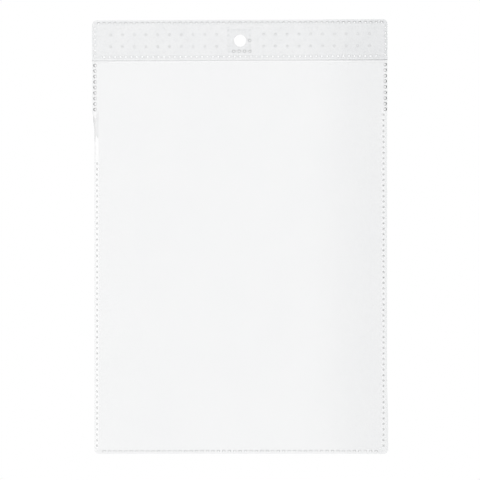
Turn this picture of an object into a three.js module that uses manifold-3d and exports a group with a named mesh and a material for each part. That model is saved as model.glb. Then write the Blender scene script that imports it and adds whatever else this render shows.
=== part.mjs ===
// Clear hanging display pocket for one A4 sheet: thin soft films joined by stitch-pattern welds.
// Millimetres, +Z up, front towards -Y. The origin is the centre of the hanging hole, on the back face.
import * as THREE from 'three';
import { mergeGeometries, mergeVertices } from 'three/addons/utils/BufferGeometryUtils.js';
import Module from 'manifold-3d';

const wasm = await Module();
wasm.setup();

// The sheet that the pocket holds, and the room that it has between the welds
const paperWidth = 210;
const paperHeight = 297;
const paperSideRoom = 3;
const paperEndRoom = 1.5;

// Film thickness, and the room between the back film and the films in front of it
const film = 0.4;
const filmGap = 0.5;

// Welded seams, and the film left outside them by the trimming die
const seamWidth = 2.4;
const headerTrim = 2.1;
const bottomTrim = 2.2;
const leftTrim = 1.9;
const rightTrim = 2.9;
const mouthSeamSetOut = 1.7;
const mouthSeamLength = 38;
const trimStepLength = 3;
const cornerRadius = 3.5;

// Header, measured from the centre of the hanging hole
const holeDiameter = 9.2;
const holeToTopSeam = 13.75;
const holeToLipSeam = 12.1;
const lipLength = 3.35;
const mouthSlit = 1.05;

// Stitches: the die melts the front film away there, and the seam or film behind it shows
const stitchLength = 2.9;
const stitchWidth = 2.1;
const stitchPitch = 4.15;
const stitchSides = 6;

// Square frame of stitches round the hole, and the groove pressed round the hole's rim
const holeFramePitch = 4.05;
const holeFrameCount = 5;
const rimGrooveDiameter = 11.4;
const rimGrooveWidth = 0.6;
const rimGrooveDepth = 0.15;
const holeSides = 32;

// Lattice of small spot welds that join the header's front strip to its lining
const latticePitch = 9.15;
const latticeRowPitch = 4.55;
const latticeRows = 5;
const latticeDot = 1.3;
const latticeSides = 6;
const latticeClearance = 1.2;

// Fold of the back film in the slit below the header
const foldAngle = THREE.MathUtils.degToRad(120);
const foldClearance = 0.15;
const foldEdgeSides = 16;

// Heights and half widths that follow from the sizes above
const seamX = paperWidth / 2 + paperSideRoom + seamWidth / 2;
const mouthSeamX = seamX + mouthSeamSetOut;
const headerEdgeX = mouthSeamX + headerTrim;
const leftEdgeX = -(seamX + leftTrim);
const rightEdgeX = seamX + rightTrim;
const topSeamZ = holeToTopSeam;
const topEdgeZ = topSeamZ + headerTrim;
const lipSeamZ = -holeToLipSeam;
const lipEdgeZ = lipSeamZ - lipLength;
const pocketTopZ = lipEdgeZ - mouthSlit;
const mouthSeamEndZ = pocketTopZ - mouthSeamLength;
const bottomSeamZ = lipSeamZ - seamWidth - paperEndRoom - paperHeight;
const bottomEdgeZ = bottomSeamZ - bottomTrim;
const foldZ = pocketTopZ + (film / 2) * Math.tan(foldAngle / 2) + foldClearance;

// Where the films in front start, measured forwards from the object's back face
const innerPly = film + filmGap;
const outerPly = innerPly + film;

const halfPitch = stitchPitch / 2;
const holeFrameHalf = (holeFramePitch * (holeFrameCount - 1)) / 2;
const cutterProud = 0.2;

const part = new THREE.Group();

function addPiece(name, geometry, look) {
  const mesh = new THREE.Mesh(geometry, new THREE.MeshStandardMaterial(look));
  mesh.name = name;
  part.add(mesh);
}

function toSolid(geometry) {
  const bare = geometry.clone();
  bare.deleteAttribute('normal');
  bare.deleteAttribute('uv');
  const merged = mergeVertices(bare, 1e-5);
  return new wasm.Manifold(new wasm.Mesh({
    numProp: 3,
    vertProperties: new Float32Array(merged.attributes.position.array),
    triVerts: new Uint32Array(merged.index.array),
  }));
}

function toGeometry(solid) {
  const mesh = solid.getMesh();
  const geometry = new THREE.BufferGeometry();
  geometry.setAttribute('position', new THREE.BufferAttribute(mesh.vertProperties, 3));
  geometry.setIndex(new THREE.BufferAttribute(mesh.triVerts, 1));
  geometry.computeVertexNormals();
  return geometry;
}

function cut(geometry, cutters) {
  return toGeometry(toSolid(geometry).subtract(toSolid(mergeGeometries(cutters))));
}

function join(geometry, added) {
  return toGeometry(toSolid(geometry).add(toSolid(added)));
}

// A layer with an outline in X and Z, whose back face lies that far in front of the object's back face
function layer(outline, back, thickness) {
  const geometry = new THREE.ExtrudeGeometry(outline, {
    depth: thickness,
    bevelEnabled: false,
    curveSegments: 5,
  });
  geometry.rotateX(Math.PI / 2);
  geometry.translate(0, -back, 0);
  return geometry;
}

function rectangle(x0, x1, z0, z1) {
  const outline = new THREE.Shape();
  outline.moveTo(x0, z0);
  outline.lineTo(x1, z0);
  outline.lineTo(x1, z1);
  outline.lineTo(x0, z1);
  outline.closePath();
  return outline;
}

// Corner points of an oval, long across X, or long up Z where it is upright
function oval(x, z, length, width, sides, upright = false) {
  return Array.from({ length: sides }, (_, i) => {
    const angle = (i / sides) * 2 * Math.PI;
    const along = (length / 2) * Math.cos(angle);
    const across = (width / 2) * Math.sin(angle);
    return upright ? new THREE.Vector2(x - across, z + along) : new THREE.Vector2(x + along, z + across);
  });
}

function punchHole(outline, diameter) {
  outline.holes.push(new THREE.Path(oval(0, 0, diameter, diameter, holeSides)));
  return outline;
}

// Header film: square lower corners, and upper corners rounded by the trimming die
function headerOutline(lowerZ) {
  const outline = new THREE.Shape();
  outline.moveTo(-headerEdgeX, lowerZ);
  outline.lineTo(headerEdgeX, lowerZ);
  outline.lineTo(headerEdgeX, topEdgeZ - cornerRadius);
  outline.absarc(headerEdgeX - cornerRadius, topEdgeZ - cornerRadius, cornerRadius, 0, Math.PI / 2);
  outline.absarc(-headerEdgeX + cornerRadius, topEdgeZ - cornerRadius, cornerRadius, Math.PI / 2, Math.PI);
  outline.closePath();
  return outline;
}

// Pocket film: as wide as the header beside the mouth, then stepped in on a short slope
function pocketOutline() {
  const stepEndZ = mouthSeamEndZ - trimStepLength;
  const arcZ = bottomEdgeZ + cornerRadius;
  const outline = new THREE.Shape();
  outline.moveTo(headerEdgeX, pocketTopZ);
  outline.lineTo(-headerEdgeX, pocketTopZ);
  outline.lineTo(-headerEdgeX, mouthSeamEndZ);
  outline.lineTo(leftEdgeX, stepEndZ);
  outline.absarc(leftEdgeX + cornerRadius, arcZ, cornerRadius, Math.PI, 1.5 * Math.PI);
  outline.absarc(rightEdgeX - cornerRadius, arcZ, cornerRadius, 1.5 * Math.PI, 2 * Math.PI);
  outline.lineTo(rightEdgeX, stepEndZ);
  outline.lineTo(headerEdgeX, mouthSeamEndZ);
  outline.closePath();
  return outline;
}

// A cutter for an opening through a front film, which stands proud of both its faces
function opening(points, filmBack) {
  return layer(new THREE.Shape(points), filmBack - cutterProud, film + 2 * cutterProud);
}

function stitch(x, z, upright, filmBack) {
  return opening(oval(x, z, stitchLength, stitchWidth, stitchSides, upright), filmBack);
}

function latticeDotCutter(x, z) {
  return opening(oval(x, z, latticeDot, latticeDot, latticeSides), outerPly);
}

// Stitches at an even pitch, from the first centre to the last
function stitchCentres(first, last) {
  const spaces = Math.max(1, Math.round(Math.abs(last - first) / stitchPitch));
  return Array.from({ length: spaces + 1 }, (_, i) => first + ((last - first) * i) / spaces);
}

function stitchRow(firstX, lastX, z, filmBack) {
  return stitchCentres(firstX, lastX).map((x) => stitch(x, z, false, filmBack));
}

function stitchColumn(x, firstZ, lastZ, filmBack) {
  return stitchCentres(firstZ, lastZ).map((z) => stitch(x, z, true, filmBack));
}

function holeFrameCentres() {
  const centres = [];
  for (let i = 0; i < holeFrameCount - 1; i += 1) {
    const along = -holeFrameHalf + i * holeFramePitch;
    centres.push([along, holeFrameHalf], [holeFrameHalf, -along]);
    centres.push([-along, -holeFrameHalf], [-holeFrameHalf, along]);
  }
  return centres;
}

// Staggered rows of dots between the header's welds, left out round the fused patch of the hole
function latticeCentres() {
  const middleZ = (topSeamZ + lipSeamZ) / 2;
  const keepOut = holeFrameHalf + seamWidth / 2 + latticeClearance;
  const reachX = mouthSeamX - seamWidth / 2 - latticeClearance - latticeDot;
  const centres = [];
  for (let row = 0; row < latticeRows; row += 1) {
    const z = middleZ + (row - (latticeRows - 1) / 2) * latticeRowPitch;
    const shift = row % 2 === 0 ? 0 : latticePitch / 2;
    const span = Math.floor((reachX - shift) / latticePitch);
    for (let i = -span - (shift > 0 ? 1 : 0); i <= span; i += 1) {
      const x = i * latticePitch + shift;
      const nearHole = Math.abs(x) < keepOut && Math.abs(z) < keepOut;
      if (!nearHole) {
        centres.push([x, z]);
      }
    }
  }
  return centres;
}

const clearFilm = { color: 0xf2f5f6, roughness: 0.16, metalness: 0, transparent: true, opacity: 0.35 };
const embossedFilm = { color: 0xe9edef, roughness: 0.24, metalness: 0, transparent: true, opacity: 0.45 };
const fusedFilm = { color: 0xdde3e6, roughness: 0.3, metalness: 0, transparent: true, opacity: 0.6 };

// Header films
function makeHeaderBack() {
  const plate = layer(punchHole(headerOutline(foldZ), holeDiameter), 0, film);
  const edge = new THREE.CylinderGeometry(film / 2, film / 2, 2 * headerEdgeX, foldEdgeSides);
  edge.rotateZ(Math.PI / 2);
  edge.translate(0, -film / 2, foldZ);
  addPiece('header_back', join(plate, edge), clearFilm);
}

// Second ply of the header, which reaches down to the edge of the lip as the front strip does
function makeHeaderLining() {
  const outline = punchHole(headerOutline(lipEdgeZ), holeDiameter);
  addPiece('header_lining', layer(outline, innerPly, film), embossedFilm);
}

function makeHeaderFrontStrip() {
  const plate = layer(punchHole(headerOutline(lipEdgeZ), holeDiameter), outerPly, film);
  const columnTopZ = topSeamZ - stitchPitch;
  const columnEndZ = lipEdgeZ + halfPitch;
  const rowEndX = mouthSeamX - halfPitch;
  const lipRowEndX = mouthSeamX - stitchPitch;
  const groove = new THREE.Shape(oval(0, 0, rimGrooveDiameter, rimGrooveDiameter, holeSides));
  punchHole(groove, rimGrooveDiameter - 2 * rimGrooveWidth);
  const cutters = [
    ...stitchRow(-rowEndX, rowEndX, topSeamZ, outerPly),
    ...stitchRow(-lipRowEndX, lipRowEndX, lipSeamZ, outerPly),
    ...stitchColumn(-mouthSeamX, columnTopZ, columnEndZ, outerPly),
    ...stitchColumn(mouthSeamX, columnTopZ, columnEndZ, outerPly),
    ...holeFrameCentres().map(([x, z]) => stitch(x, z, Math.abs(x) > Math.abs(z), outerPly)),
    ...latticeCentres().map(([x, z]) => latticeDotCutter(x, z)),
    layer(groove, outerPly + film - rimGrooveDepth, rimGrooveDepth + cutterProud),
  ];
  addPiece('header_front_strip', cut(plate, cutters), embossedFilm);
}

// Header welds: bars of fused film between the back film and the lining
function makeHeaderWelds() {
  const half = seamWidth / 2;
  const outerX = mouthSeamX + half;
  const innerX = mouthSeamX - half;
  const sideTopZ = topSeamZ - half;
  const bars = {
    header_top_weld: rectangle(-outerX, outerX, sideTopZ, topSeamZ + half),
    header_left_weld: rectangle(-outerX, -innerX, lipEdgeZ, sideTopZ),
    header_right_weld: rectangle(innerX, outerX, lipEdgeZ, sideTopZ),
    header_lip_weld: rectangle(-innerX, innerX, lipSeamZ - half, lipSeamZ + half),
  };
  for (const [name, outline] of Object.entries(bars)) {
    addPiece(name, layer(outline, film, filmGap), fusedFilm);
  }
}

function makeHoleWeld() {
  const half = holeFrameHalf + seamWidth / 2;
  const outline = punchHole(rectangle(-half, half, -half, half), holeDiameter);
  addPiece('hanging_hole_weld', layer(outline, film, filmGap), fusedFilm);
}

// Pocket films
function makeBackSheet() {
  addPiece('back_sheet', layer(pocketOutline(), 0, film), clearFilm);
}

function makeFrontSheet() {
  const mouthTopZ = pocketTopZ - halfPitch;
  const mouthLowZ = mouthSeamEndZ + halfPitch;
  const sideTopZ = mouthSeamEndZ - halfPitch;
  const sideLowZ = bottomSeamZ + stitchPitch;
  const rowEndX = seamX - halfPitch;
  const cutters = [-1, 1].flatMap((side) => [
    ...stitchColumn(side * mouthSeamX, mouthTopZ, mouthLowZ, innerPly),
    ...stitchColumn(side * seamX, sideTopZ, sideLowZ, innerPly),
  ]);
  cutters.push(...stitchRow(-rowEndX, rowEndX, bottomSeamZ, innerPly));
  addPiece('front_sheet', cut(layer(pocketOutline(), innerPly, film), cutters), clearFilm);
}

// Pocket welds: the bars that join the back film to the front film on three sides
function makePocketWelds() {
  const half = seamWidth / 2;
  const bottomTopZ = bottomSeamZ + half;
  const bars = {
    mouth_left_weld: rectangle(-mouthSeamX - half, -mouthSeamX + half, mouthSeamEndZ, pocketTopZ),
    mouth_right_weld: rectangle(mouthSeamX - half, mouthSeamX + half, mouthSeamEndZ, pocketTopZ),
    side_left_weld: rectangle(-seamX - half, -seamX + half, bottomTopZ, mouthSeamEndZ),
    side_right_weld: rectangle(seamX - half, seamX + half, bottomTopZ, mouthSeamEndZ),
    bottom_weld: rectangle(-seamX - half, seamX + half, bottomSeamZ - half, bottomTopZ),
  };
  for (const [name, outline] of Object.entries(bars)) {
    addPiece(name, layer(outline, film, filmGap), fusedFilm);
  }
}

makeHeaderBack();
makeHeaderLining();
makeHeaderFrontStrip();
makeHeaderWelds();
makeHoleWeld();
makeBackSheet();
makeFrontSheet();
makePocketWelds();

export default part;
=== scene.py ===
# Clear hanging display pocket for one A4 sheet: soft films, stitch-pattern welds, punched header
import math

import bmesh
import bpy
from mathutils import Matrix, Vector


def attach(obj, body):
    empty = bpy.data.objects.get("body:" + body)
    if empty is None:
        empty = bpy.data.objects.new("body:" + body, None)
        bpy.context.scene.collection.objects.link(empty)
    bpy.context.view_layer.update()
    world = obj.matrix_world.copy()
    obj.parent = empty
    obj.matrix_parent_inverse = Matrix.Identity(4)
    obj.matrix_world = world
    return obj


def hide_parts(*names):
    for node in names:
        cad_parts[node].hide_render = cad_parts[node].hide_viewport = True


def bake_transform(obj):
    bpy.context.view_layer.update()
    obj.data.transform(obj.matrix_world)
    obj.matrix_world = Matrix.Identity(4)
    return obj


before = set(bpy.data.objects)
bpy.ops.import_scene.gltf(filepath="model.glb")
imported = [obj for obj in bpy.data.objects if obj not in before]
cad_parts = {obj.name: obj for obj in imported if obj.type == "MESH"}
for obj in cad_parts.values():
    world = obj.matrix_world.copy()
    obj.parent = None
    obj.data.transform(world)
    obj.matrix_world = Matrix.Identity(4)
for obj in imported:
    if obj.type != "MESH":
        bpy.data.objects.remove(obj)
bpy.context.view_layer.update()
mm = 0.001
print("frame loaded:", ", ".join(sorted(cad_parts)))

# sizes that several pieces share, in millimetres from the centre of the hanging hole
pocket = {
    "film": 0.37,            # thickness of each film as it shows
    "seamWidth": 2.4,
    "seamX": 109.2,          # centre of the long side welds
    "mouthSeamX": 110.9,     # centre of the header's and the mouth's side welds
    "leftX": -113.0,         # edges of the header and the mouth
    "rightX": 112.35,
    "topSeamZ": 13.75,
    "topEdgeZ": 15.85,
    "lipSeamZ": -12.1,
    "lipEdgeZ": -15.45,
    "mouthZ": -16.5,
    "mouthSeamEndZ": -54.5,
    "bottomSeamZ": -313.0,
    "bottomEdgeZ": -315.2,
    "cornerRadius": 3.5,
    "cornerSteps": 6,
}
sideX, seamX, halfSeam = pocket["mouthSeamX"], pocket["seamX"], pocket["seamWidth"] / 2
lipZ, mouthZ, stepZ = pocket["lipEdgeZ"], pocket["mouthZ"], pocket["mouthSeamEndZ"]
topZ, lipSeamZ, bottomZ = pocket["topSeamZ"], pocket["lipSeamZ"], pocket["bottomSeamZ"]
topEdgeZ, bottomEdgeZ = pocket["topEdgeZ"], pocket["bottomEdgeZ"]

# front face of each layer, as a distance in front of the object's back
layers = {"back": 0.4, "weld": 0.885, "inner": 1.3, "outer": 1.7}

# where the film inside the welds begins: the header's field and the pocket's sheet
fieldX, fieldLow, fieldHigh = 108.4, -10.125, 11.3
sheetX, sheetLow = 106.7, -310.5
pastEdge = 113               # further out than any edge

# left and right edges of the pocket, from the step below the mouth down to the bottom
rightEdge = [(112.9, bottomEdgeZ), (112.9, -285.0), (112.1, -262.0), (112.1, -57.5),
             (pocket["rightX"], stepZ)]
leftEdge = [(pocket["leftX"], stepZ), (-111.3, -57.5), (-111.1, -150.0), (-111.1, bottomEdgeZ)]

# slow waves that the soft film keeps, none near the fold
waves = {
    "height": 0.3,
    "foldZ": -16,
    "calmReach": 6,          # flat up to this far from the fold, and fully wavy from fullReach on
    "fullReach": 45,
    "longX": 37,
    "longZ": 52,
    "longShift": 0.6,
    "shortX": 19,
    "shortZ": 33,
    "shortShare": 0.5,
}

# the header was trimmed a little higher on the right
trim = {"rise": 0.5, "halfWidth": 113, "fromZ": -70}


def smooth(start, end, value):
    t = min(max((value - start) / (end - start), 0), 1)
    return t * t * (3 - 2 * t)


def wave(x, z):
    calm = smooth(waves["calmReach"], waves["fullReach"], abs(z - waves["foldZ"]))
    long = math.sin(x / waves["longX"] + waves["longShift"]) * math.cos(z / waves["longZ"])
    short = math.sin(x / waves["shortX"] - z / waves["shortZ"])
    return waves["height"] * calm * (long + waves["shortShare"] * short)


def bow(x, z):
    return trim["rise"] * x / trim["halfWidth"] * smooth(trim["fromZ"], 0, z)


class Flow:
    # one socket of a material, so that sums on it are written as Python
    def __init__(self, tree, socket=None):
        self.tree = tree
        self.socket = socket

    def node(self, kind, settings=None, inputs=None, output=0):
        made = self.tree.nodes.new(kind)
        for key, value in (settings or {}).items():
            setattr(made, key, value)
        for key, value in (inputs or {}).items():
            if isinstance(value, Flow):
                self.tree.links.new(value.socket, made.inputs[key])
            else:
                made.inputs[key].default_value = value
        return Flow(self.tree, made.outputs[output] if made.outputs else None)

    def sum(self, operation, first, second):
        return self.node("ShaderNodeMath", {"operation": operation}, {0: first, 1: second})

    def __add__(self, other):
        return self.sum("ADD", self, other)

    def __radd__(self, other):
        return self.sum("ADD", other, self)

    def __sub__(self, other):
        return self.sum("SUBTRACT", self, other)

    def __rsub__(self, other):
        return self.sum("SUBTRACT", other, self)

    def __mul__(self, other):
        return self.sum("MULTIPLY", self, other)

    def __rmul__(self, other):
        return self.sum("MULTIPLY", other, self)

    def __pow__(self, other):
        return self.sum("POWER", self, other)


def emptyMaterial(name):
    material = bpy.data.materials.new(name)
    material.use_nodes = True
    material.node_tree.nodes.clear()
    return material, Flow(material.node_tree)


# what every kind of film has in common
grain = {
    "middle": 0.5,                            # mean of a noise
    "rightFrom": 0.045,                       # painted shade: the haze grows towards the right between these places, in metres
    "rightTo": 0.108,
    "scratchScale": (900.0, 900.0, 60.0),
    "scratchDepth": 0.14,
    "skinScale": 1400.0,
    "skinShare": 0.06,
    "bumpDistance": 0.0012,
    "ior": 1.52,
    "mirror": (0.96, 0.97, 0.98, 1),
    "mirrorSquareOn": 0.022,                  # share that is mirrored when seen square on
    "mirrorRise": 5,                          # Fresnel's curve, the same on both sides of a film
}


def vinyl(name, look):
    # soft clear PVC: a faint grey haze over what lies behind, and a gloss that grows towards the edge-on view
    material, flow = emptyMaterial(name)
    place = flow.node("ShaderNodeTexCoord", output="Object")
    cloud = flow.node("ShaderNodeTexNoise", {}, {"Vector": place, "Scale": look["cloudScale"],
                      "Detail": 3.0, "Roughness": 0.55})
    across = flow.node("ShaderNodeSeparateXYZ", {}, {"Vector": place}, output="X")
    # painted shade: the haze, and so the film, darkens towards the right edge
    rightShade = flow.node("ShaderNodeMapRange", {"interpolation_type": "SMOOTHSTEP"},
                          {"Value": across, "From Min": grain["rightFrom"], "From Max": grain["rightTo"],
                           "To Min": 0.0, "To Max": look["rightShadeGain"]})
    haze = look["haze"] * (1 - grain["middle"] * look["cloudy"] + look["cloudy"] * cloud + rightShade)
    colour = flow.node("ShaderNodeMix", {"data_type": "RGBA"},
                       {"Factor": cloud, "A": (*look["colour"], 1), "B": (*look["cool"], 1)}, output="Result")
    stretched = flow.node("ShaderNodeMapping", {}, {"Vector": place, "Scale": grain["scratchScale"]})
    scratches = flow.node("ShaderNodeTexNoise", {}, {"Vector": stretched, "Scale": 1.0, "Detail": 2.0})
    rough = look["rough"] + grain["scratchDepth"] * (scratches - grain["middle"])
    ripples = flow.node("ShaderNodeTexNoise", {}, {"Vector": place, "Scale": look["rippleScale"],
                        "Detail": 2.0})
    skin = flow.node("ShaderNodeTexNoise", {}, {"Vector": place, "Scale": grain["skinScale"], "Detail": 1.0})
    bump = flow.node("ShaderNodeBump", {}, {"Height": ripples + grain["skinShare"] * skin,
                     "Strength": look["ripple"], "Distance": grain["bumpDistance"]})
    body = flow.node("ShaderNodeBsdfPrincipled", {}, {"Base Color": colour, "Alpha": haze, "Roughness": rough,
                     "IOR": grain["ior"], "Normal": bump})
    gloss = flow.node("ShaderNodeBsdfPrincipled", {}, {"Base Color": grain["mirror"], "Metallic": 1.0,
                      "Roughness": rough, "Normal": bump})
    edgeOn = flow.node("ShaderNodeLayerWeight", {}, {"Blend": 0.5}, output="Facing")
    mirrored = grain["mirrorSquareOn"] + look["gloss"] * edgeOn ** grain["mirrorRise"]
    surface = flow.node("ShaderNodeMixShader", {}, {0: mirrored, 1: body, 2: gloss})
    flow.node("ShaderNodeOutputMaterial", {}, {"Surface": surface})
    return material


clear = {
    "colour": (0.70, 0.71, 0.72),
    "cool": (0.66, 0.69, 0.72),
    "haze": 0.050,           # share of what lies behind that one face hides
    "cloudy": 0.25,          # how much the haze changes from place to place
    "cloudScale": 22.0,
    "rightShadeGain": 0.65,       # how much painted shade darkens the haze towards the right edge
    "rough": 0.16,
    "rippleScale": 45.0,
    "ripple": 0.25,
    "gloss": 0.8,
}
header = {**clear, "haze": 0.0625, "rightShadeGain": 0.4, "cloudy": 0.5, "cloudScale": 60.0, "ripple": 0.35}
# base for the dark walls of stitches and pressed dots, which are painted shade
wall = {**clear, "cloudy": 0.7, "cloudScale": 240.0, "rightShadeGain": 0.1, "rough": 0.3}
core = {**clear, "colour": (0.95, 0.955, 0.96), "cool": (0.9, 0.91, 0.92), "rightShadeGain": 0.0, "rough": 0.1}
# grey of the cut edges is painted shade
cut = {**clear, "colour": (0.42, 0.43, 0.44), "cool": (0.5, 0.51, 0.52), "cloudScale": 120.0, "rough": 0.35}


def paintedShadeVinyl(name, colour, cool, haze):
    return vinyl(name, {**wall, "colour": colour, "cool": cool, "haze": haze})


softFilm = vinyl("softFilm", clear)
headerFilm = vinyl("headerFilm", header)
meltedFilm = vinyl("meltedFilm", {**clear, "haze": 0.03, "rough": 0.22, "rightShadeGain": 0.2})
# painted shade on stitch and dot walls, from near black to faint grey
deepWallShade = paintedShadeVinyl("deepWallShade", (0.12, 0.125, 0.13), (0.16, 0.165, 0.17), 0.8)
darkWallShade = paintedShadeVinyl("darkWallShade", (0.18, 0.185, 0.19), (0.22, 0.225, 0.23), 0.46)
midWallShade = paintedShadeVinyl("midWallShade", (0.3, 0.305, 0.31), (0.36, 0.37, 0.38), 0.22)
faintWallShade = paintedShadeVinyl("faintWallShade", (0.4, 0.41, 0.42), (0.46, 0.47, 0.48), 0.12)
clearCore = vinyl("clearCore", {**core, "haze": 0.004})
cutEdgeShade = vinyl("cutEdgeShade", {**cut, "haze": 0.2})
pocketLooks = [softFilm, meltedFilm, deepWallShade, darkWallShade, midWallShade, faintWallShade, clearCore, cutEdgeShade]
headerLooks = [headerFilm] + pocketLooks[1:]
filmLook, meltLook, deepShadeLook, darkShadeLook, midShadeLook, faintShadeLook, coreLook, edgeShadeLook = range(len(pocketLooks))
print("materials made")


def sheetFrom(outline, rounded=()):
    # one flat face that looks to the front, with the numbered corners rounded
    bm = bmesh.new()
    corners = [bm.verts.new((x * mm, 0, z * mm)) for x, z in outline]
    bm.faces.new(corners)
    if rounded:
        bmesh.ops.bevel(bm, geom=[corners[i] for i in rounded], offset=pocket["cornerRadius"] * mm,
                        offset_type="OFFSET", segments=pocket["cornerSteps"], profile=0.5,
                        affect="VERTICES", material=-1)
    return bm


def rectangle(x0, x1, z0, z1):
    return [(x0, z0), (x1, z0), (x1, z1), (x0, z1)]


def onBothSides(*distances):
    return [side * distance for distance in distances for side in (-1, 1)]


def middle(face):
    centre = face.calc_center_median()
    return centre.x / mm, centre.z / mm


def cutAt(bm, axis, values, inside=None):
    # cuts straight across the faces whose middles are inside
    normal = Vector((1, 0, 0)) if axis == "x" else Vector((0, 0, 1))
    for value in values:
        faces = [f for f in bm.faces if inside is None or inside(*middle(f))]
        geom = dict.fromkeys(part for f in faces for part in (f, *f.edges, *f.verts))    # keeps their order
        bmesh.ops.bisect_plane(bm, geom=list(geom), dist=1e-7, plane_co=normal * value * mm, plane_no=normal)


slope = 0.5    # a face that leans further than this is part of the rim


def front(face):
    return face.normal.y < -slope


def back(face):
    return face.normal.y > slope


def rim(face):
    return abs(face.normal.y) <= slope


def frontOrBack(face):
    return not rim(face)


def near(points, reach):
    return lambda x, z: any(abs(x - px) < reach and abs(z - pz) < reach for px, pz in points)


# imitation stitches
stitch = {
    "pitch": 4.15,
    "margin": 0.13,          # flat margin, raised rim and steep wall, from the outside in
    "rimWidth": 0.22,
    "wallWidth": 0.26,
    "lift": 0.16,
    "sink": 0.34,
    "fused": 0.25,           # margin of the clear patch behind each stitch
    "reach": 0.3,            # a face whose middle is this near to a stitch's centre is that stitch
    "endReach": 0.4,         # its end walls have their middles this near to the line of the seam
    "topDrop": 0.2,          # the top's stitches lie below the middle of their bar
}


class Seam:
    # a straight run of stitches, upright at an x or level at a z, and the band of film that bends with it;
    # outer and inner say how far those corners of a stitch lie outwards and lengthwise from a plain rectangle
    def __init__(self, axis, at, run, band, outward, length, walls, shift=0, floor=None,
                 outer=(0, 0), inner=(0, 0)):
        self.axis, self.at, self.outward, self.length, self.shift = axis, at, outward, length, shift
        self.outerLook, self.sideLook, self.innerLook, self.gapLook = walls
        self.floorLook = coreLook if floor is None else floor
        self.outerCorner, self.innerCorner = outer, inner
        self.low, self.high = min(band), max(band)
        spaces = round((run[1] - run[0]) / stitch["pitch"])
        self.centres = [run[0] + (run[1] - run[0]) * i / spaces for i in range(spaces + 1)]

    def split(self, x, z):
        # along and across from x and z, and the other way round
        return (z, x) if self.axis == "x" else (x, z)

    def move(self, vert, along, outwards):
        x, z = self.split(along, self.outward * outwards)
        vert.co += Vector((x, 0, z)) * mm

    def shape(self, face):
        # moves the corners of one stitch
        alongMiddle, acrossMiddle = self.split(*middle(face))
        for vert in face.verts:
            along, across = self.split(vert.co.x / mm, vert.co.z / mm)
            outer = self.outward * (across - acrossMiddle) > 0
            outwards, longer = self.outerCorner if outer else self.innerCorner
            self.move(vert, longer if along > alongMiddle else -longer, outwards)

    def inRun(self, along):
        return self.centres[0] - stitch["pitch"] / 2 < along < self.centres[-1] + stitch["pitch"] / 2

    def inBand(self, x, z):
        along, across = self.split(x, z)
        return self.inRun(along) and self.low < across < self.high

    def holds(self, x, z):
        along, across = self.split(x, z)
        return self.inRun(along) and abs(across - self.at) < halfSeam

    def isStitch(self, x, z):
        along, across = self.split(x, z)
        nearest = min(abs(along - centre) for centre in self.centres)
        return max(abs(across - self.at), nearest) < stitch["reach"]

    def cut(self, bm):
        lines = [centre + side * self.length / 2 for centre in self.centres for side in (-1, 1)]
        cutAt(bm, "z" if self.axis == "x" else "x", lines, self.inBand)

    def wall(self, x, z):
        # look of a stitch's wall on its outer side, its inner side or its ends, mostly painted shade
        outer = self.outward * (self.split(x, z)[1] - self.at)
        if abs(outer) <= stitch["endReach"]:
            return self.sideLook
        return self.outerLook if outer > 0 else self.innerLook


def press(bm, faces, steps, floorLook=None):
    # sinks or lifts each face in steps of (margin, height, look of the ring that this makes)
    for margin, height, look in steps:
        made = bmesh.ops.inset_individual(bm, faces=faces, thickness=margin * mm, depth=height * mm,
                                          use_even_offset=True)
        for face in made["faces"]:
            if callable(look):
                face.material_index = look(*middle(face))
            elif look is not None:
                face.material_index = look
    if floorLook is not None:
        for face in faces:
            face.material_index = floorLook


def pickFaces(bm, side, picked):
    return [f for f in bm.faces if side(f) and picked(*middle(f))]


def clearCells(bm, picked, margin, side=frontOrBack):
    # where the die pressed, the film is fused and clear
    press(bm, pickFaces(bm, side, picked), [(margin, 0, None)], coreLook)


def stitchIn(bm, seam):
    # raised rim, steep wall with painted shade, and floor of each imitation stitch, clear or painted shade
    clearCells(bm, seam.isStitch, stitch["fused"], back)
    cells = pickFaces(bm, front, seam.isStitch)
    for face in cells:
        seam.shape(face)
    press(bm, cells, [(stitch["margin"], 0, None), (stitch["rimWidth"], stitch["lift"], seam.wall),
                      (stitch["wallWidth"], -stitch["sink"], seam.wall)], seam.floorLook)
    for face in cells:
        for vert in face.verts:
            seam.move(vert, 0, -seam.shift)


def fuse(bm, seams):
    # the film between the stitches of a weld
    for face in bm.faces:
        for seam in seams:
            if frontOrBack(face) and seam.holds(*middle(face)):
                face.material_index = seam.gapLook


def thicken(bm, depth):
    # gives the flat sheet its thickness towards the back, with its front at y 0 and its edges sharp
    bmesh.ops.recalc_face_normals(bm, faces=bm.faces)
    if sum(f.normal.y for f in bm.faces) > 0:
        bmesh.ops.reverse_faces(bm, faces=bm.faces)
    made = bmesh.ops.extrude_face_region(bm, geom=list(bm.faces), use_keep_orig=True)
    moved = [v for v in made["geom"] if isinstance(v, bmesh.types.BMVert)]
    bmesh.ops.translate(bm, verts=moved, vec=(0, depth * mm, 0))
    bmesh.ops.recalc_face_normals(bm, faces=bm.faces)
    crease = bm.edges.layers.float.new("crease_edge")
    for edge in bm.edges:
        if sum(rim(face) for face in edge.link_faces) == 1:
            edge[crease] = 1
            edge.smooth = False


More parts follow.
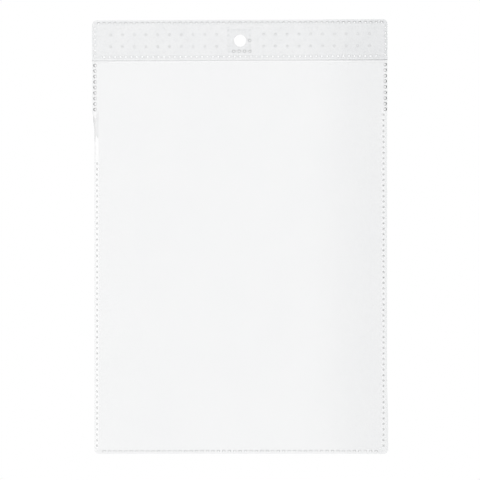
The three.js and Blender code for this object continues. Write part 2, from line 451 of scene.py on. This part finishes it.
def finish(bm, name, looks, layer, body, nodes, warp=None):
    # the finished piece, on its layer, waved and trimmed with the rest
    for vert in bm.verts:
        x, z = vert.co.x / mm, vert.co.z / mm
        vert.co.z += bow(x, z) * mm
        vert.co.y += (wave(x, z) - layers[layer]) * mm
        if warp:
            vert.co += Vector(warp(x, z)) * mm
    mesh = bpy.data.meshes.new(name)
    bm.to_mesh(mesh)
    bm.free()
    mesh.polygons.foreach_set("use_smooth", [True] * len(mesh.polygons))
    for look in looks:
        mesh.materials.append(look)
    piece = bpy.data.objects.new(name, mesh)
    bpy.context.scene.collection.objects.link(piece)
    subdivision = piece.modifiers.new("soft", "SUBSURF")
    subdivision.levels = subdivision.render_levels = 1
    if body:
        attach(piece, body)
    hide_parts(*nodes)
    print(name, len(mesh.polygons), "faces before subdivision")
    return piece


# punched hole with its square of pressed dots
hole = {
    "rings": [5.8, 5.45, 5.1, 4.6],    # radii; the second ring is a groove
    "ringStep": 0.1,
    "frameX": -0.75,                   # the square was pressed a little to the left of the punched hole
    "dotPitch": 4.1,
    "dot": 2.9,
    "dotReach": 0.5,
    "outerFrom": 6,                    # dots further out than this are in the square's outer rows
    "firstDotX": -8,
    "middleReach": 2,
    "patch": 10.125,                   # half the square that the dots lie in
    "square": 9.3,                     # half the fused square
    "fused": 0.45,
}
dotSteps = [i * hole["dotPitch"] for i in (-2, -1, 0, 1, 2)]
frameDots = [(hole["frameX"] + x, z) for x in dotSteps for z in dotSteps if dotSteps[-1] in (abs(x), abs(z))]
isFrameDot = near(frameDots, hole["dotReach"])


def isDeepDot(x, z):
    # the lower row but for its first dot, and the middle of the right side, were pressed hardest
    lowerRow = z < -hole["outerFrom"] and x > hole["firstDotX"]
    rightMiddle = x > hole["outerFrom"] and abs(z) < hole["middleReach"]
    return isFrameDot(x, z) and (lowerRow or rightMiddle)


def isShallowDot(x, z):
    return isFrameDot(x, z) and not isDeepDot(x, z)


def inPatch(x, z):
    return abs(x - hole["frameX"]) < hole["patch"] and abs(z) < hole["patch"]


def punchHole(bm, inside=None):
    patch, frameX, halfDot = hole["patch"], hole["frameX"], hole["dot"] / 2
    if inside:
        cutAt(bm, "x", [frameX - patch, frameX + patch], inside)
        cutAt(bm, "z", [patch], lambda x, z: abs(x - frameX) < patch and inside(x, z))
    for axis, offset in (("x", frameX), ("z", 0)):
        cutAt(bm, axis, [offset + step + side for step in dotSteps for side in onBothSides(halfDot)], inPatch)
    window = dotSteps[-1] - halfDot
    inner = [f for f in bm.faces if max(abs(middle(f)[0] - frameX), abs(middle(f)[1])) < window]
    inner = bmesh.ops.dissolve_faces(bm, faces=inner)["region"][0]
    bmesh.ops.subdivide_edges(bm, edges=inner.edges, cuts=1)
    inner = min(bm.faces, key=lambda f: f.calc_center_median().length)
    for radius in hole["rings"]:
        bmesh.ops.inset_individual(bm, faces=[inner], thickness=hole["ringStep"] * mm)
        for vert in inner.verts:
            vert.co = vert.co.normalized() * radius * mm
    bmesh.ops.delete(bm, geom=[inner], context="FACES")


def paintRims(bm, looks=range(len(pocketLooks)), lipEdge=None):
    # cut edges get painted grey shade, and the edge of the punched hole stays bright
    for face in bm.faces:
        x, z = middle(face)
        if face.material_index in looks and (rim(face) or lipEdge is not None and z < lipEdge):
            face.material_index = edgeShadeLook if math.hypot(x, z) > hole["rings"][0] else meltLook


# the welds' seams: axis, place, first and last stitch, band, side that is outwards, length of a stitch,
# looks of its outer wall, end walls and inner wall, mostly painted shade, and of the film between, and shift
# of its floor; the long sides' stitch floors are painted shade
levelRun, headerRun, mouthRun = (-103.75, 103.75), (-11.15, 9.6), (-52.425, -18.575)
leftBand, rightBand = (-pastEdge, -fieldX), (fieldX, pastEdge)
seams = {
    "top": Seam("z", topZ - stitch["topDrop"], (-107.9, 107.9), (fieldHigh, topEdgeZ), 1, 3.3,
                (darkShadeLook, darkShadeLook, meltLook, filmLook), 0.2, outer=(-0.12, -0.7), inner=(0, 0.4)),
    "lip": Seam("z", lipSeamZ, levelRun, (lipZ, fieldLow), 1, 3.3,
                (faintShadeLook, midShadeLook, faintShadeLook, filmLook), -0.2, outer=(0, -0.4), inner=(0, 0.25)),
    "headerLeft": Seam("x", -sideX, headerRun, leftBand, -1, 3.2,
                       (midShadeLook, faintShadeLook, faintShadeLook, filmLook), 0.2),
    "headerRight": Seam("x", sideX, headerRun, rightBand, 1, 3.2,
                        (midShadeLook, midShadeLook, midShadeLook, filmLook), 0.2),
    "mouthLeft": Seam("x", -sideX, mouthRun, leftBand, -1, 3.4,
                      (deepShadeLook, darkShadeLook, darkShadeLook, meltLook), 0.25, outer=(0.2, 0.3), inner=(-0.5, 0)),
    "mouthRight": Seam("x", sideX, mouthRun, rightBand, 1, 3.4,
                       (deepShadeLook, darkShadeLook, darkShadeLook, meltLook), 0.2, outer=(0.1, 0.3), inner=(-0.55, 0)),
    "sideLeft": Seam("x", -seamX, (-308.85, -69.0), (-pastEdge, -sheetX), -1, 3.1,
                     (faintShadeLook, midShadeLook, midShadeLook, coreLook), floor=darkShadeLook),
    "sideRight": Seam("x", seamX, (-308.85, -56.575), (sheetX, pastEdge), 1, 2.8,
                      (darkShadeLook, midShadeLook, midShadeLook, meltLook), floor=darkShadeLook),
    "bottom": Seam("z", bottomZ, levelRun, (bottomEdgeZ, sheetLow), -1, 3.4,
                   (faintShadeLook, darkShadeLook, darkShadeLook, meltLook), -0.1, outer=(0, 0.3), inner=(0, -0.5)),
}
headerSeams = [seams[name] for name in ("top", "lip", "headerLeft", "headerRight")]
pocketSeams = [seams[name] for name in ("mouthLeft", "mouthRight", "sideLeft", "sideRight", "bottom")]
headerOutline = rectangle(pocket["leftX"], pocket["rightX"], lipZ, topEdgeZ)

# plain cuts, so that the films bend evenly between their welds
fieldLines = {"x": range(-105, 106, 5), "z": (-5, 0, 5)}
sheetLines = {"x": range(-102, 103, 17), "z": range(-295, -20, 20)}


def inField(x, z):
    # the header inside its welds
    return fieldLow < z < fieldHigh and abs(x) < fieldX


def inOpenField(x, z):
    return inField(x, z) and not inPatch(x, z)


def cutHeaderSeams(bm):
    cutAt(bm, "z", [fieldHigh, topZ - halfSeam, topZ + halfSeam], lambda x, z: z > lipZ)
    cutAt(bm, "x", onBothSides(sideX - halfSeam, sideX + halfSeam), lambda x, z: z > lipZ)
    cutAt(bm, "x", onBothSides(fieldX), lambda x, z: lipZ < z < fieldHigh)
    cutAt(bm, "z", [fieldLow, lipSeamZ + halfSeam, lipSeamZ - halfSeam],
          lambda x, z: z > lipZ and abs(x) < fieldX)
    for seam in headerSeams:
        seam.cut(bm)


def cutPocketSeams(bm):
    cutAt(bm, "z", [stepZ], lambda x, z: z < lipZ)
    cutAt(bm, "z", [sheetLow, bottomZ + halfSeam, bottomZ - halfSeam], lambda x, z: z < stepZ)
    cutAt(bm, "x", onBothSides(fieldX, sideX - halfSeam, sideX + halfSeam), lambda x, z: stepZ < z < lipZ)
    cutAt(bm, "x", onBothSides(seamX - halfSeam, seamX + halfSeam), lambda x, z: z < stepZ)
    cutAt(bm, "x", onBothSides(sheetX), lambda x, z: sheetLow < z < stepZ)
    for seam in pocketSeams:
        seam.cut(bm)
    for axis, lines in sheetLines.items():
        cutAt(bm, axis, lines, lambda x, z: abs(x) < sheetX and sheetLow < z < lipZ)


# spot welds that join the header's two plies
lattice = {
    "pitch": 8.97,
    "rowPitch": 4.55,
    "rows": 5,
    "columns": 13,           # to each side of the middle, before the header ends them
    "middleZ": 0.225,
    "dot": 2.3,
    "dotReach": 0.3,
    "rowReach": 1,
    "reach": 106.5,
    "clearOfHole": 11.2,
    "fused": 0.35,
}


def latticeDots():
    dots = []
    for row in range(lattice["rows"]):
        z = lattice["middleZ"] + (row - (lattice["rows"] - 1) / 2) * lattice["rowPitch"]
        for i in range(-lattice["columns"], lattice["columns"]):
            x = (i + (row + 1) % 2 / 2) * lattice["pitch"]
            if abs(x) < lattice["reach"] and max(abs(x), abs(z)) > lattice["clearOfHole"]:
                dots.append((x, z))
    return dots


isDot = near(latticeDots(), lattice["dotReach"])


def isFirmDot(x, z):
    # the second and fourth rows were pressed harder
    return isDot(x, z) and abs(abs(z - lattice["middleZ"]) - lattice["rowPitch"]) < lattice["rowReach"]


def isFaintDot(x, z):
    return isDot(x, z) and not isFirmDot(x, z)


def cutLattice(bm):
    for axis, index in (("z", 1), ("x", 0)):
        sides = onBothSides(lattice["dot"] / 2)
        lines = {round(dot[index] + side, 4) for dot in latticeDots() for side in sides}
        cutAt(bm, axis, sorted(lines), inOpenField)


# header's front strip; each kind of dot has its rings, as press takes them, and the look of its floor; their
# dark rings are painted shade
strip = {
    "lipEdge": 0.45,         # cut edge of the free lip, painted grey as shade
    "lipCurl": 0.35,
    "grooveDepth": 0.14,
    "grooveReach": 0.1,
    "deepDot": ([(0.1, 0, None), (0.35, 0.12, darkShadeLook), (0.4, -0.28, darkShadeLook)], coreLook),
    "shallowDot": ([(0.2, 0, None), (0.4, 0.08, None), (0.4, -0.16, faintShadeLook)], filmLook),
    "firmDot": ([(0.03, 0, None), (0.2, 0.06, midShadeLook), (0.18, -0.18, darkShadeLook)], coreLook),
    "faintDot": ([(0.3, 0, None), (0.2, -0.1, faintShadeLook)], meltLook),
}


def curl(x, z):
    # the free lip stands off a little
    return 0, -strip["lipCurl"] * smooth(lipSeamZ - halfSeam, lipZ, z), 0


def makeStrip():
    lipEdge = lipZ + strip["lipEdge"]
    bm = sheetFrom(headerOutline, rounded=(2, 3))
    cutHeaderSeams(bm)
    cutAt(bm, "z", [lipEdge], lambda x, z: z < lipSeamZ - halfSeam or abs(x) > fieldX)
    punchHole(bm, inField)
    cutLattice(bm)
    thicken(bm, pocket["film"])
    for seam in headerSeams:
        stitchIn(bm, seam)
    clearCells(bm, isDeepDot, hole["fused"], back)
    clearCells(bm, isFirmDot, lattice["fused"], back)
    for picked, kind in ((isDeepDot, "deepDot"), (isShallowDot, "shallowDot"),
                         (isFirmDot, "firmDot"), (isFaintDot, "faintDot")):
        press(bm, pickFaces(bm, front, picked), *strip[kind])
    for vert in bm.verts:
        fromGroove = abs(math.hypot(vert.co.x, vert.co.z) / mm - hole["rings"][1])
        if fromGroove < strip["grooveReach"] and vert.co.y < strip["grooveReach"] * mm:
            vert.co.y += strip["grooveDepth"] * mm
    paintRims(bm, [filmLook], lipEdge)
    finish(bm, "headerFrontStrip", headerLooks, "outer", "header", ["header_front_strip"],
           curl)


makeStrip()


# header's second ply
def makeLining():
    bm = sheetFrom(headerOutline, rounded=(2, 3))
    cutHeaderSeams(bm)
    punchHole(bm, inField)
    cutLattice(bm)
    thicken(bm, pocket["film"])
    for seam in headerSeams:
        clearCells(bm, seam.isStitch, stitch["fused"])
    clearCells(bm, isDeepDot, hole["fused"])
    clearCells(bm, isFirmDot, lattice["fused"])
    finish(bm, "headerLining", headerLooks, "inner", "header", ["header_lining"])


makeLining()


# front film of the pocket, which stands off a little in the middle, where a sheet slides in
frontFilm = {"bulge": 0.7, "bulgeX": 108, "bulgeTop": (-24, -90), "bulgeBottom": (-311, -250)}


def bulge(x, z):
    wide = 1 - min(abs(x) / frontFilm["bulgeX"], 1) ** 2
    tall = smooth(*frontFilm["bulgeTop"], z) * smooth(*frontFilm["bulgeBottom"], z)
    return 0, -frontFilm["bulge"] * wide * tall, 0


def makeFrontFilm():
    mouth = [(pocket["rightX"], mouthZ), (pocket["leftX"], mouthZ)]
    bm = sheetFrom([leftEdge[-1]] + rightEdge + mouth + leftEdge[:-1], rounded=(0, 1))
    cutPocketSeams(bm)
    thicken(bm, pocket["film"])
    fuse(bm, pocketSeams)
    for seam in pocketSeams:
        stitchIn(bm, seam)
    paintRims(bm, [filmLook])
    for face in bm.faces:
        x, z = middle(face)
        curled = seams["sideLeft"].centres[-1] < z < stepZ and x < -seamX + front(face) * halfSeam
        if curled and face.material_index != edgeShadeLook:
            face.material_index = faintShadeLook    # painted shade where the left edge curls as it steps in
    finish(bm, "frontFilm", pocketLooks, "inner", "pocket", ["front_sheet"], bulge)


makeFrontFilm()


# back film, one piece from the header to the bottom
backFilm = {
    "foldRows": 9,
    "guard": 1.5,            # a cut this far below the fold keeps its last row narrow
    "margin": 0.2,           # shallow marks of the stitches on the back
    "slope": 0.3,
    "press": 0.1,
    "openFrom": -102,        # the slit shows bright between these, and lies closed beyond, where it gets painted shade
    "openTo": 85,
}


def makeBackFilm():
    rows = backFilm["foldRows"]
    foldLines = [lipZ + (mouthZ - lipZ) * i / rows for i in range(-1, rows + 2)]
    marks = [(backFilm["margin"], 0, None), (backFilm["slope"], -backFilm["press"], None)]
    top = [(pocket["rightX"], topEdgeZ), (pocket["leftX"], topEdgeZ)]
    bm = sheetFrom([leftEdge[-1]] + rightEdge + top + leftEdge[:-1], rounded=(0, 1, 6, 7))
    cutAt(bm, "z", foldLines + [mouthZ - backFilm["guard"]])
    cutHeaderSeams(bm)
    cutPocketSeams(bm)
    punchHole(bm, inField)
    for axis, lines in fieldLines.items():
        cutAt(bm, axis, lines, inOpenField)
    cutAt(bm, "x", sheetLines["x"], lambda x, z: mouthZ < z < lipZ)
    thicken(bm, pocket["film"])
    fuse(bm, pocketSeams)
    paintRims(bm)
    for seam in headerSeams + pocketSeams:
        clearCells(bm, seam.isStitch, stitch["fused"], front)
        press(bm, pickFaces(bm, back, seam.isStitch), marks, coreLook)
    clearCells(bm, isDeepDot, hole["fused"])
    # painted shade on the fold band where the slit lies closed
    for face in pickFaces(bm, front, lambda x, z: mouthZ < z < lipZ):
        if not backFilm["openFrom"] < middle(face)[0] < backFilm["openTo"]:
            face.material_index = faintShadeLook
    piece = finish(bm, "backFilm", pocketLooks, "back", None, ["header_back", "back_sheet"])
    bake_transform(piece)


makeBackFilm()


# fused bars of the welds
weld = {"depth": 0.46, "margin": 0.2, "slope": 0.2, "press": 0.06, "gap": 0.02}


def makeWeld(name, node, body, bar, seam):
    bm = sheetFrom(rectangle(*bar))
    seam.cut(bm)
    thicken(bm, weld["depth"])
    for face in bm.faces:
        face.material_index = coreLook if seam.gapLook == coreLook else meltLook
    clearCells(bm, seam.isStitch, stitch["fused"], back)
    marks = [(weld["margin"], 0, None), (weld["slope"], -weld["press"], None)]
    press(bm, pickFaces(bm, front, seam.isStitch), marks, coreLook)
    finish(bm, name, pocketLooks, "weld", body, [node])


apart = weld["gap"]
outerX, innerX = sideX + halfSeam, sideX - halfSeam
headerEndZ, mouthEndZ, sideEndZ = topZ - halfSeam - apart, stepZ + apart, bottomZ + halfSeam + apart
makeWeld("headerTopWeld", "header_top_weld", "header",
         (-outerX, outerX, topZ - halfSeam, topZ + halfSeam), seams["top"])
makeWeld("headerLipWeld", "header_lip_weld", "header",
         (-innerX + apart, innerX - apart, lipSeamZ - halfSeam, lipSeamZ + halfSeam), seams["lip"])
makeWeld("headerLeftWeld", "header_left_weld", "header",
         (-outerX, -innerX, lipZ, headerEndZ), seams["headerLeft"])
makeWeld("headerRightWeld", "header_right_weld", "header",
         (innerX, outerX, lipZ, headerEndZ), seams["headerRight"])
makeWeld("mouthLeftWeld", "mouth_left_weld", "pocket",
         (-outerX, -innerX, mouthEndZ, mouthZ), seams["mouthLeft"])
makeWeld("mouthRightWeld", "mouth_right_weld", "pocket",
         (innerX, outerX, mouthEndZ, mouthZ), seams["mouthRight"])
makeWeld("sideLeftWeld", "side_left_weld", "pocket",
         (-seamX - halfSeam, -seamX + halfSeam, sideEndZ, stepZ), seams["sideLeft"])
makeWeld("sideRightWeld", "side_right_weld", "pocket",
         (seamX - halfSeam, seamX + halfSeam, sideEndZ, stepZ), seams["sideRight"])
makeWeld("bottomWeld", "bottom_weld", "pocket",
         (-seamX - halfSeam, seamX + halfSeam, bottomZ - halfSeam, bottomZ + halfSeam), seams["bottom"])


# fused square round the hole
def makeHoleWeld():
    half, frameX = hole["square"], hole["frameX"]
    bm = sheetFrom(rectangle(frameX - half, frameX + half, -half, half))
    punchHole(bm)
    thicken(bm, weld["depth"])
    for face in bm.faces:
        face.material_index = coreLook if isDeepDot(*middle(face)) or rim(face) else meltLook
    finish(bm, "hangingHoleWeld", pocketLooks, "weld", "header", ["hanging_hole_weld"])


makeHoleWeld()


# floor, light and camera, in metres
studio = {
    "floorZ": -0.43,
    "floorRadius": 0.39,
    "floorSides": 96,
    "floorTone": 0.93,
    "floorRough": 0.8,
    "fadeFrom": 0.2,         # the floor fades into the white between these distances
    "fadeTo": 0.38,
    "plainLevel": 0.64,      # how bright the white world is as a light
    "aim": (0, 0, -0.15),
    "lampSize": 0.7,
    "keyPlace": (-0.7, -0.9, 0.75),
    "keyPower": 5.3,
    "fillPlace": (0.8, 0.7, 0.6),
    "fillPower": 3.7,
    "lens": 85,
    "sensor": 36,
    "cameraPlace": (-0.0001, -0.8657, -0.15205),
}


def makeFloor():
    bm = bmesh.new()
    bmesh.ops.create_circle(bm, cap_ends=True, segments=studio["floorSides"], radius=studio["floorRadius"])
    bmesh.ops.translate(bm, verts=bm.verts, vec=(0, 0, studio["floorZ"]))
    mesh = bpy.data.meshes.new("floor")
    bm.to_mesh(mesh)
    bm.free()
    material, flow = emptyMaterial("paleFloor")
    place = flow.node("ShaderNodeTexCoord", output="Object")
    level = flow.node("ShaderNodeVectorMath", {"operation": "MULTIPLY"}, {0: place, 1: (1.0, 1.0, 0.0)})
    far = flow.node("ShaderNodeVectorMath", {"operation": "LENGTH"}, {0: level}, output="Value")
    fade = flow.node("ShaderNodeMapRange", {"interpolation_type": "SMOOTHSTEP"},
                     {"Value": far, "From Min": studio["fadeFrom"], "From Max": studio["fadeTo"],
                      "To Min": 1.0, "To Max": 0.0})
    tone = studio["floorTone"]
    surface = flow.node("ShaderNodeBsdfPrincipled", {}, {"Base Color": (tone, tone, tone, 1), "Alpha": fade,
                        "Roughness": studio["floorRough"]})
    flow.node("ShaderNodeOutputMaterial", {}, {"Surface": surface})
    mesh.materials.append(material)
    floor = bpy.data.objects.new("floor", mesh)
    bpy.context.scene.collection.objects.link(floor)


def makeWorld():
    # plain white to the eye, in gloss and through clear film, and dimmer as a light
    world = bpy.data.worlds.new("whiteStudio")
    bpy.context.scene.world = world
    world.use_nodes = True
    world.node_tree.nodes.clear()
    flow = Flow(world.node_tree)
    camera, glossy, through = [flow.node("ShaderNodeLightPath", output=kind)
                               for kind in ("Is Camera Ray", "Is Glossy Ray", "Is Transmission Ray")]
    seen = flow.sum("MAXIMUM", flow.sum("MAXIMUM", camera, glossy), through)
    plain = flow.node("ShaderNodeBackground", {}, {"Color": (1, 1, 1, 1), "Strength": studio["plainLevel"]})
    white = flow.node("ShaderNodeBackground", {}, {"Color": (1, 1, 1, 1), "Strength": 1.0})
    shown = flow.node("ShaderNodeMixShader", {}, {0: seen, 1: plain, 2: white})
    flow.node("ShaderNodeOutputWorld", {}, {"Surface": shown})


def addLight(name, place, power):
    lamp = bpy.data.lights.new(name, "AREA")
    lamp.shape = "SQUARE"
    lamp.size = studio["lampSize"]
    lamp.energy = power
    light = bpy.data.objects.new(name, lamp)
    light.location = place
    light.rotation_euler = (Vector(studio["aim"]) - Vector(place)).to_track_quat("-Z", "Y").to_euler()
    bpy.context.scene.collection.objects.link(light)


def makeCamera():
    view = bpy.data.cameras.new("photoView")
    view.lens = studio["lens"]
    view.sensor_width = studio["sensor"]
    camera = bpy.data.objects.new("photoView", view)
    camera.location = studio["cameraPlace"]
    camera.rotation_euler = (math.pi / 2, 0, 0)
    bpy.context.scene.collection.objects.link(camera)
    bpy.context.scene.camera = camera


makeFloor()
makeWorld()
addLight("keySoftbox", studio["keyPlace"], studio["keyPower"])
addLight("fillSoftbox", studio["fillPlace"], studio["fillPower"])
makeCamera()
scene = bpy.context.scene
scene.view_settings.view_transform = "Standard"
scene.cycles.transparent_max_bounces = 48    # the header's welds alone are eight film faces deep
print("studio made")

bpy.context.view_layer.update()
